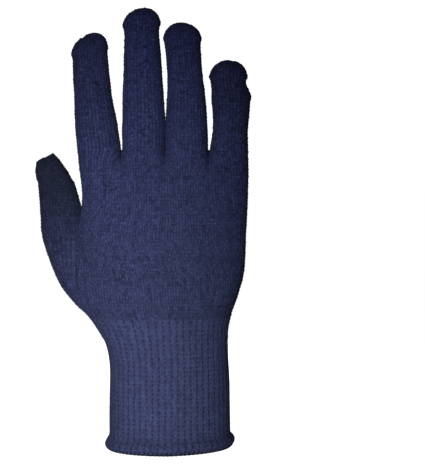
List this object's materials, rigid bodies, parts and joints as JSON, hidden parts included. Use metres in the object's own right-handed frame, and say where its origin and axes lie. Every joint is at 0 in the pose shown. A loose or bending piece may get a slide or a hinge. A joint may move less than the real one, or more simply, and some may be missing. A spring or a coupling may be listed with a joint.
{
  "type": "thermal glove",
  "caption": "Seamless knitted liner glove for the right hand, hollow, with closed finger tubes, a ribbed cuff and a rolled hem, in the form it has when worn.",
  "frame": {"origin": "centre of the wrist opening, in the plane of the hem's lower edge", "axes": "+Z from the wrist to the fingertips, +X from the thumb's side to the little finger, -Y out of the back of the hand"},
  "size_m": [0.1218, 0.0515, 0.25],
  "materials": {
    "finger_knit": "fine plain knit of dull navy yarn",
    "palm_knit": "fine plain knit of dull navy yarn",
    "rib_knit": "mock rib of dull navy yarn with elastic",
    "hem_overlock": "overlocked navy yarn, rolled edge"
  },
  "bodies": {
    "root": {"index_finger": "finger_knit", "middle_finger": "finger_knit", "ring_finger": "finger_knit", "little_finger": "finger_knit", "thumb": "finger_knit", "four_finger_palm": "palm_knit", "five_finger_palm": "palm_knit", "cuff": "rib_knit", "hem": "hem_overlock"}
  },
  "joints": []
}
